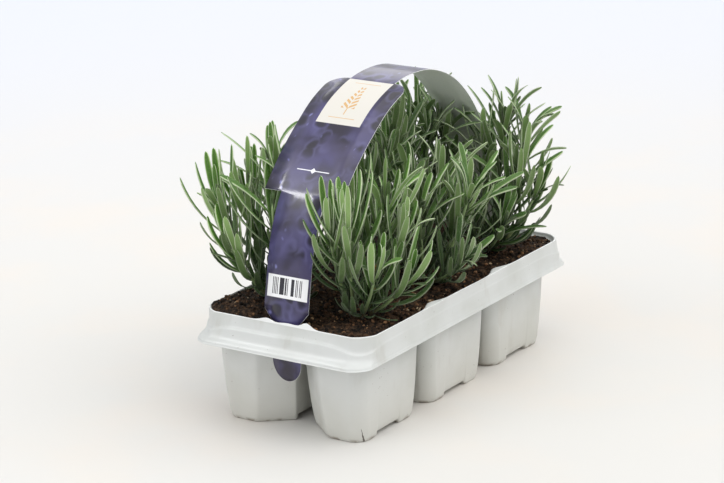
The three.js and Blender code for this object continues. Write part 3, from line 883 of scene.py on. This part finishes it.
def inside_lip(x, y, margin):
    """True where a point is clear of the tray's wall and of the handle's slots."""
    half_x = LIP_HALF_LENGTH - LIP_THICKNESS - margin
    half_y = LIP_HALF_WIDTH - LIP_THICKNESS - margin
    in_corner = (half_x - abs(x)) + (half_y - abs(y)) < 0.75 * TRAY_CORNER
    in_slot = abs(abs(x) - SLOT_X) < SLOT_HALF_THICKNESS + margin and abs(y) < SLOT_HALF_WIDTH + margin
    return abs(x) < half_x and abs(y) < half_y and not in_corner and not in_slot


def build_soil(plant, earth):
    """A bed of crumbly soil over one cell, and the plug of soil that fills the cell."""
    centre = centre_of(plant, SOIL_HALF_WIDTH)
    draw = random.Random(f"soil {plant}")
    bm = bmesh.new()
    tint = bm.verts.layers.float_vector.new("crumb")
    wide = PITCH_X / 2 - SOIL_GAP / 2
    deep = SOIL_HALF_WIDTH - SOIL_GAP / 2
    bmesh.ops.create_grid(bm, x_segments=72, y_segments=58, size=1,
                          matrix=Matrix.Translation(centre) @ Matrix.Diagonal((wide, deep, 1, 1)))
    trim_to_lip(bm)
    for vert in bm.verts:
        x, y, _ = vert.co
        vert.co.z = soil_height(x, y) + soil_relief(x, y)
        vert[tint] = (0.3, 0, 0)
    rim = [edge for edge in bm.edges if edge.is_boundary]
    foot = DECK_HEIGHT + SOIL_GAP
    down = grow_ring(bm, rim, lambda co: Vector((co.x, co.y, foot)))
    bmesh.ops.triangle_fill(bm, edges=down, use_beauty=True)
    plug = bmesh.new()
    inset = SHEET + SOIL_GAP + 0.3
    add_cell(plug, plant, inset)
    bmesh.ops.holes_fill(plug, edges=[e for e in plug.edges if e.is_boundary], sides=0)
    merge_into(bm, plug)
    bmesh.ops.recalc_face_normals(bm, faces=bm.faces)
    scatter_crumbs(bm, tint, centre, wide, deep, draw)
    finish_piece(f"soil_bed_{plant}", bm, [earth], [f"soil_{plant}"])


def trim_to_lip(bm):
    """Cuts a soil bed off at the tray's inner wall and round the handle's slots."""
    half_x = LIP_HALF_LENGTH - LIP_THICKNESS - SOIL_GAP
    half_y = LIP_HALF_WIDTH - LIP_THICKNESS - SOIL_GAP
    for sign_x in (-1, 1):
        cut_across(bm, (sign_x * half_x, 0, 0), (sign_x, 0, 0), clear=True)
    for sign_y in (-1, 1):
        cut_across(bm, (0, sign_y * half_y, 0), (0, sign_y, 0), clear=True)
        for sign_x in (-1, 1):
            reach = 0.77 * TRAY_CORNER
            cut_across(bm, (sign_x * (half_x - reach), sign_y * half_y, 0),
                       (sign_x, sign_y, 0), clear=True)
    spare = SLOT_HALF_THICKNESS + SOIL_GAP
    for end in (-1, 1):
        for x in (end * SLOT_X - spare, end * SLOT_X + spare):
            cut_across(bm, (x, 0, 0), (1, 0, 0))
    for y in (-SLOT_HALF_WIDTH, SLOT_HALF_WIDTH):
        cut_across(bm, (0, y, 0), (0, 1, 0))
    slot_faces = []
    for face in bm.faces:
        middle = face.calc_center_median()
        if abs(abs(middle.x) - SLOT_X) < spare and abs(middle.y) < SLOT_HALF_WIDTH:
            slot_faces.append(face)
    bmesh.ops.delete(bm, geom=slot_faces, context="FACES")


def scatter_crumbs(bm, tint, centre, wide, deep, draw):
    """Small angular crumbs, a few of them pale or reddish."""
    for _ in range(CRUMBS):
        x = centre.x + draw.uniform(-wide, wide)
        y = centre.y + draw.uniform(-deep, deep)
        radius = 0.45 + 1.2 * draw.random() ** 2.2
        if not inside_lip(x, y, radius + 0.4):
            continue
        height = soil_height(x, y) + soil_relief(x, y) + 0.25 * radius
        stretch = Matrix.Diagonal((draw.uniform(0.7, 1.5), draw.uniform(0.7, 1.3),
                                   draw.uniform(0.6, 1.0), 1))
        turn = Matrix.Rotation(draw.uniform(0, TAU), 4, (draw.random(), draw.random(), 1))
        place = Matrix.Translation((x, y, height)) @ turn @ stretch
        made = bmesh.ops.create_icosphere(bm, subdivisions=1, radius=radius, matrix=place)
        shade = draw.random()
        for vert in made["verts"]:
            vert.co += 0.28 * radius * Vector([draw.uniform(-1, 1) for _ in range(3)])
            vert[tint] = (shade, 0, 0)


# ---- Handle strip ----

# The strip's middle line seen from the side as (X, Z), from the front tongue over the top.
STRIP_POINTS = [
    (-126, 37), (-126, 79), (-119, 111), (-113, 134), (-106, 149.5), (-99, 161), (-97, 163.3),
    (-81, 180), (-57, 199), (-38, 211), (-12, 220), (14, 222.5), (38, 219.5), (66.5, 207),
    (92, 183), (111, 150), (122.5, 115), (126, 79), (126, 37),
]


CURVE_SAMPLES = 24  # between two of the strip's points


def strip_curve():
    """Dense points of a centripetal Catmull-Rom curve through the strip's points."""
    knots = [Vector(p) for p in STRIP_POINTS]
    knots = [2 * knots[0] - knots[1]] + knots + [2 * knots[-1] - knots[-2]]
    dense = []
    for i in range(1, len(knots) - 2):
        before, start, end, after = knots[i - 1:i + 3]
        gaps = [max((b - a).length, 1e-4) ** 0.5
                for a, b in ((before, start), (start, end), (end, after))]
        leave = ((start - before) / gaps[0] - (end - before) / (gaps[0] + gaps[1])
                 + (end - start) / gaps[1]) * gaps[1]
        arrive = ((end - start) / gaps[1] - (after - start) / (gaps[1] + gaps[2])
                  + (after - end) / gaps[2]) * gaps[1]
        for k in range(CURVE_SAMPLES):
            t = k / CURVE_SAMPLES
            dense.append(start * (2 * t**3 - 3 * t**2 + 1) + leave * (t**3 - 2 * t**2 + t)
                         + end * (3 * t**2 - 2 * t**3) + arrive * (t**3 - t**2))
    return dense + [knots[-2]]


CURVE = strip_curve()
CURVE_LENGTHS = [0.0]
for first, second in zip(CURVE, CURVE[1:]):
    CURVE_LENGTHS.append(CURVE_LENGTHS[-1] + (second - first).length)
STRIP_LENGTH = CURVE_LENGTHS[-1]


def curve_at(distance):
    """The strip's line at a distance along it: its point and direction as (X, Z)."""
    distance = clamp(distance, 0, STRIP_LENGTH - 1e-6)
    low, high = 0, len(CURVE) - 1
    while high - low > 1:
        middle = (low + high) // 2
        if CURVE_LENGTHS[middle] <= distance:
            low = middle
        else:
            high = middle
    share = (distance - CURVE_LENGTHS[low]) / (CURVE_LENGTHS[high] - CURVE_LENGTHS[low])
    return CURVE[low].lerp(CURVE[high], share), (CURVE[high] - CURVE[low]).normalized()


PANEL_START = 129.4  # distance along the strip to the wide panel's straight lower edge
PANEL_END = 236.5
PANEL_STRAIGHT = 143  # below this distance the panel's wings go on straight past the bend
SHOULDER = PANEL_HALF_WIDTH - BAND_HALF_WIDTH
NOTCH = (42.4, 50.2)  # the tongue widens to the band between these distances
SKEW = 1.0  # the front tongue sits this far to one side of the middle


def card_outline():
    """One side of the flat die-cut card as (distance along, half width)."""
    side = [(TONGUE_ROUNDING * (1 - math.cos(angle)), TONGUE_HALF_WIDTH * math.sin(angle))
            for angle in quarter_turn(8)]
    side[0] = (0.0, 0.4)
    side += [(NOTCH[0], TONGUE_HALF_WIDTH), (NOTCH[1], BAND_HALF_WIDTH),
             (PANEL_START, BAND_HALF_WIDTH), (PANEL_START, PANEL_HALF_WIDTH)]
    side += [(PANEL_END - SHOULDER * (1 - math.sin(angle)),
              BAND_HALF_WIDTH + SHOULDER * math.cos(angle)) for angle in quarter_turn(8)]
    rear = [(STRIP_LENGTH - along, half) for along, half in side[:11]]
    return side + rear[::-1]


def build_strip(printed, white, grey):
    """Cut flat, then bent over the tray along its line."""
    bm = bmesh.new()
    side = card_outline()
    points = [(s, half) for s, half in side] + [(s, -half) for s, half in side[::-1]]
    card = bm.faces.new([bm.verts.new((s, y, 0)) for s, y in points])
    margin = bmesh.ops.inset_region(bm, faces=[card], thickness=CARD_MARGIN,
                                     use_boundary=True, use_even_offset=True)
    for face in margin["faces"]:
        face.material_index = 2
    steps = round(STRIP_LENGTH / 2.5)
    for i in range(1, steps):
        cut_across(bm, (STRIP_LENGTH * i / steps, 0, 0), (1, 0, 0))
    for y in (-BAND_HALF_WIDTH + 0.01, -6, 6, BAND_HALF_WIDTH - 0.01):
        cut_across(bm, (0, y, 0), (0, 1, 0))
    flat = bm.loops.layers.uv.new("flat_card")
    for face in bm.faces:
        for loop in face.loops:
            loop[flat].uv = (loop.vert.co.x * MM, loop.vert.co.y * MM)
    for vert in bm.verts:
        place, direction = curve_at(vert.co.x)
        on_wing = clamp((abs(vert.co.y) - BAND_HALF_WIDTH) / 2)
        if vert.co.x < PANEL_STRAIGHT and on_wing > 0:
            start, way = curve_at(PANEL_STRAIGHT)
            place = place.lerp(start + way * (vert.co.x - PANEL_STRAIGHT), on_wing)
        skew = SKEW * (1 - clamp((vert.co.x - NOTCH[1]) / 30))
        vert.co = Vector((place.x, vert.co.y - skew, place.y))
    bmesh.ops.recalc_face_normals(bm, faces=bm.faces)
    if sum(face.normal.z for face in bm.faces) < 0:
        bmesh.ops.reverse_faces(bm, faces=bm.faces)
    strip = finish_piece("handle_strip", bm, [printed, grey, white, grey], ["carry_handle"])
    body = strip.modifiers.new("card", "SOLIDIFY")
    body.thickness = CARD_THICKNESS * MM
    body.offset = 0
    body.material_offset = 1


def strip_height(x):
    """Height of the strip's line over a place along the tray."""
    for first, second in zip(CURVE, CURVE[1:]):
        if first.x <= x <= second.x and second.x > first.x:
            return lerp(first.y, second.y, (x - first.x) / (second.x - first.x))
    return 0.0


STRIP_HEIGHTS = [strip_height(x) for x in range(-126, 127)]


def under_strip(point):
    """True below the strip's arch, at any distance across."""
    index = int(point.x + 126)
    return 0 <= index < len(STRIP_HEIGHTS) and point.z < STRIP_HEIGHTS[index]


def strip_reach(point):
    """Half the strip's width, with some room, where it passes over a point."""
    on_panel = -101 < point.x < -2 and point.z > 150
    return (PANEL_HALF_WIDTH if on_panel else BAND_HALF_WIDTH) + 2


def has_room(points):
    """True if a line of points neither passes through the strip nor hides its front, and
    stays over the tray."""
    for point in points:
        if abs(point.y) > LEAF_REACH_Y or point.z > LEAF_REACH_Z:
            return False
        if not LEAF_REACH_X[0] < point.x < LEAF_REACH_X[1]:
            return False
        if point.x < 0 and -15 < point.y < 33 and not under_strip(point) and point.z < 165:
            return False
    for first, second in zip(points, points[1:]):
        if under_strip(first) != under_strip(second):
            if min(abs(first.y), abs(second.y)) < strip_reach(first):
                return False
    return True


# ---- Shoots ----


def level_direction(degrees):
    return Vector((math.cos(math.radians(degrees)), math.sin(math.radians(degrees)), 0))


def bezier(line, share):
    start, middle, end = line
    return start * (1 - share) ** 2 + middle * (2 * share * (1 - share)) + end * share**2


def bezier_direction(line, share):
    start, middle, end = line
    return ((middle - start) * (1 - share) + (end - middle) * share).normalized()


def stems_of(plant):
    """Each stem's line and length. Feet stand evenly round a ring, and a stem leans more at its
    foot than over its whole length."""
    shoots = SHOOTS[plant]
    step = 360 / len(shoots)
    first = sum(toward - i * step for i, (toward, _, _) in enumerate(shoots)) / len(shoots)
    stems = []
    for i, (toward, lean, length) in enumerate(shoots):
        foot = centre_of(plant, PLANT_ROW_Y) + CROWN_RADIUS * level_direction(first + i * step)
        foot.z = soil_height(foot.x, foot.y) + STEM_COLLAR
        lean_way = level_direction(toward)

        def reach(factor, share):
            angle = math.radians(lean) * factor
            return foot + length * share * (lean_way * math.sin(angle) + UP * math.cos(angle))

        stems.append({"line": (foot, reach(1.3, 0.5), reach(1, 1)), "length": length,
                      "side": level_direction(toward + 90),
                      "arching": UPRIGHT_PLANTS.get(plant, 0.8)})
    return stems


def add_spindle(bm, layers, stations, place, look, material):
    """A closed form along a line, with eight sides. The place function gives the point at a
    station's share of the length and an angle round the section, and the look function what is
    kept for its finish."""
    made = bmesh.ops.create_uvsphere(bm, u_segments=8, v_segments=stations, radius=1)
    for vert in made["verts"]:
        x, y, z = vert.co
        share = round(math.acos(clamp(-z, -1, 1)) / math.pi * stations) / stations
        angle = math.atan2(y, x)
        vert[layers[0]], vert[layers[1]] = look(share, angle)
        vert.co = place(share, angle)
    for face in {face for vert in made["verts"] for face in vert.link_faces}:
        face.material_index = material


def leaf_width(share):
    """A narrow strap's half width as a share of its widest: slim foot, blunt tip."""
    foot = 0.5 + 0.5 * clamp(share / 0.62) ** 0.9
    tip = math.sqrt(max(0.0, 1 - clamp((share - 0.74) / 0.26) ** 2.4))
    return foot * tip


def add_leaf(bm, layers, line, stem_way, draw, leaf):
    """A felted leaf with a groove along its upper side and margins rolled under."""
    half = leaf["width"] / 2
    twist = draw.uniform(-0.6, 0.6)
    cup = draw.uniform(0.15, 0.5)
    thick = 0.30 + 0.09 * half
    shade = draw.random()
    stations = leaf["stations"]
    upper = across_part(stem_way, bezier_direction(line, 0))
    frames = {}
    for k in range(stations + 1):
        share = 1 - (1 - k / stations) ** 1.6
        along = bezier_direction(line, share)
        upper = across_part(upper, along)
        across = along.cross(upper)
        roll = twist * share
        frames[k / stations] = (bezier(line, share), leaf_width(share),
                                upper * math.cos(roll) + across * math.sin(roll),
                                across * math.cos(roll) - upper * math.sin(roll))

    def place(share, angle):
        point, size, upper, across = frames[share]
        if share in (0, 1):
            return point
        width = half * size
        x, z = math.cos(angle), math.sin(angle)
        if z >= 0:
            lift = thick * size**0.5 * (0.15 + 0.85 * clamp(abs(x) / 0.7)) * z**0.45
        else:
            lift = -thick * size**0.5 * (0.8 - 0.5 * clamp(abs(x) / 0.8)) * abs(z) ** 0.45
        return point + across * (width * x) + upper * (lift - cup * width * x * x)

    # The look keeps which side faces up, a random tint, and the leaf's share of painted shade.
    def look(share, angle):
        side = 1.0 if math.sin(angle) > -0.01 else 0.0
        return (math.cos(angle), share, leaf["fresh"]), (side, shade, leaf["inner"])

    add_spindle(bm, layers, stations, place, look, leaf["material"])


def across_part(vector, along):
    """The direction of what is left of a vector when its part along a direction is taken off."""
    return (vector - along * vector.dot(along)).normalized()


def add_stem(bm, layers, stem):
    """A slender rod that starts a little below the soil."""
    def place(share, angle):
        point = bezier(stem["line"], share)
        if share < 0.04:
            point = point - UP * 5
        if share in (0, 1):
            return point
        outward = stem["side"].cross(bezier_direction(stem["line"], share))
        radius = lerp(STEM_FOOT_RADIUS, STEM_TOP_RADIUS, share)
        return point + radius * (stem["side"] * math.cos(angle) + outward * math.sin(angle))

    def look(share, _angle):
        return (0.0, share, 0.0), (1.0, 0.5, 0.0)

    add_spindle(bm, layers, 14, place, look, 1)


# Leaves on a stem: angles in degrees from the stem's direction, turns round it in radians,
# lengths in millimetres, and places along it from 0 at the soil to 1 at its tip.
STEM_PER_PAIR = 9
FEWEST_PAIRS = 6
LOWEST_PAIR = 0.08
PAIR_SPAN = 0.91  # from the lowest pair to the highest
CROWDING = 0.62  # below 1, pairs stand closer together towards the top
TOP_SPREAD = 16
LOW_SPREAD = 50  # how much more the lowest pair spreads
SHORT_LEAF = 26
LONGER = 24  # how much longer a leaf halfway up is
LEAF_WIDTH = (4.0, 5.4)
AXIL = {"share": 0.5, "spread": (12, 44), "length": (9, 24), "width": 0.72}
LOW = {"count": 5, "turn": 1.9, "spread": (30, 75), "length": (12, 23), "width": 0.7}
ROSETTE = {"count": 5, "turn": 2.1, "spread": (4, 24), "length": (16, 34), "width": 0.9}
ARCHING_FROM = 0.3  # pairs above this share of the rise may arch over
ARCHING_SPAN = 0.4
ARCHED_HALVES = (0.64, 0.42)  # shares of the length before and after the bend
RISING_HALVES = (0.5, 0.56)
OVER_SOIL = 1.5
OVER_LIP = 1.8
OTHER_TURNS = (0, 25, -25, 50, -50, 80, -80)  # tried in turn where a leaf has no room


def leaf_line(foot, way, turn, spread, length, rise, stem, draw):
    """A leaf's bent line. A low leaf leaves the stem at its spread and turns up, like the rib of
    a bowl; one near the stem's top often arches over outwards, like the jet of a fountain."""
    outward = stem["side"].cross(way)
    away = stem["side"] * math.cos(turn) + outward * math.sin(turn)
    start = way * math.cos(spread) + away * math.sin(spread)
    if draw.random() < stem["arching"] * clamp((rise - ARCHING_FROM) / ARCHING_SPAN):
        bend = away * draw.uniform(0.7, 1.7) - UP * draw.uniform(-0.4, 0.7)
        first, last = ARCHED_HALVES
    else:
        bend = UP * draw.uniform(0.9, 2.6) + away * draw.uniform(-0.3, 0.1)
        first, last = RISING_HALVES
    end = (start + bend + way.cross(away) * draw.uniform(-0.25, 0.25)).normalized()
    middle = foot + start * (length * first * draw.uniform(0.9, 1.1))
    return foot, middle, middle + end * (length * last)


def settle(line):
    """Lifts a low leaf's line clear of the soil and the lip."""
    raised = [line[0]]
    for point in line[1:]:
        floor = soil_height(point.x, point.y) + OVER_SOIL
        if not inside_lip(point.x, point.y, 3):
            floor = LIP_HEIGHT + OVER_LIP
        raised.append(Vector((point.x, point.y, max(point.z, floor))))
    return tuple(raised)


def leaves_of(stem, draw):
    """A stem's leaves: opposite pairs, each a quarter turn from the one below it, sparse below
    and crowded into a rosette at the top, with small leaves in their axils."""
    pairs = max(FEWEST_PAIRS, round(stem["length"] / STEM_PER_PAIR) + 2)
    first_turn = draw.uniform(0, TAU)
    for pair in range(pairs):
        rise = pair / (pairs - 1)
        along = LOWEST_PAIR + PAIR_SPAN * rise ** CROWDING
        for half in (0, 1):
            turn = first_turn + math.pi * (0.5 * pair + half) + draw.uniform(-0.4, 0.4)
            spread = math.radians(TOP_SPREAD + LOW_SPREAD * (1 - rise) ** 0.9
                                  + draw.uniform(-9, 9))
            length = SHORT_LEAF + LONGER * math.sin(math.pi * min(1, rise * 0.62 + 0.16))
            length *= draw.uniform(0.78, 1.15) * min(1, 0.58 + stem["length"] / 150)
            yield along, turn, spread, length, 1.0, rise
            if draw.random() < AXIL["share"]:
                turn += draw.uniform(-0.9, 0.9)
                yield along, turn, *drawn(AXIL, draw), rise
    for low in range(LOW["count"]):
        along = draw.uniform(0.03, 0.22)
        yield along, first_turn + low * LOW["turn"], *drawn(LOW, draw), 0.1
    for inner in range(ROSETTE["count"]):
        yield 0.985, first_turn + inner * ROSETTE["turn"], *drawn(ROSETTE, draw), 1.0


def drawn(kind, draw):
    """A small leaf's spread, length and share of the full width."""
    return math.radians(draw.uniform(*kind["spread"])), draw.uniform(*kind["length"]), kind["width"]


def build_shoot(plant, number, stem, finishes):
    draw = random.Random(f"{plant} {number}")
    bm = bmesh.new()
    layers = (bm.verts.layers.float_vector.new("leaf_place"),
              bm.verts.layers.float_vector.new("leaf_look"))
    add_stem(bm, layers, stem)
    freshness = draw.uniform(0.05, 0.4) + (0.4 if plant in FRESH_PLANTS else 0)
    withers = (plant, number) == WITHERED
    for along, turn, spread, length, width, rise in leaves_of(stem, draw):
        foot = bezier(stem["line"], along)
        way = bezier_direction(stem["line"], along)
        for extra in OTHER_TURNS:
            line = settle(leaf_line(foot, way, turn + math.radians(extra), spread, length,
                                    rise, stem, draw))
            if has_room([bezier(line, k / 12) for k in range(13)]):
                break
        else:
            continue
        # A leaf's inner share is painted shade: leaves low on the stem, short leaves and the leaves of
        # shaded plants are darkened.
        leaf = {"width": width * draw.uniform(*LEAF_WIDTH) * min(1, 0.6 + length / 70),
                "fresh": clamp(freshness + 0.3 * (1 - rise) + draw.uniform(-0.2, 0.2)),
                "inner": max(PAINTED_SHADE_PLANTS.get(plant, 0),
                             clamp(1.1 - 1.4 * rise) if length > 24 else 0.85),
                "stations": 9 if length > 20 else 6,
                "material": 2 if withers else 0}
        withers = False
        add_leaf(bm, layers, line, way, draw, leaf)
    bmesh.ops.recalc_face_normals(bm, faces=bm.faces)
    name = f"{plant}_{number}"
    finish_piece(f"leafy_shoot_{name}", bm, finishes, [f"shoot_{name}"])


# ---- The object ----

place_camera()
light_studio()
lay_floor()
build_tray(tray_plastic())
build_strip(card_print(), card_white(), card_grey())
soil_finish = moist_soil()
plant_finishes = [leaf_green(), stem_green(), withered_leaf()]
for plant in SHOOTS:
    build_soil(plant, soil_finish)
    for index, stem in enumerate(stems_of(plant)):
        build_shoot(plant, index + 1, stem, plant_finishes)
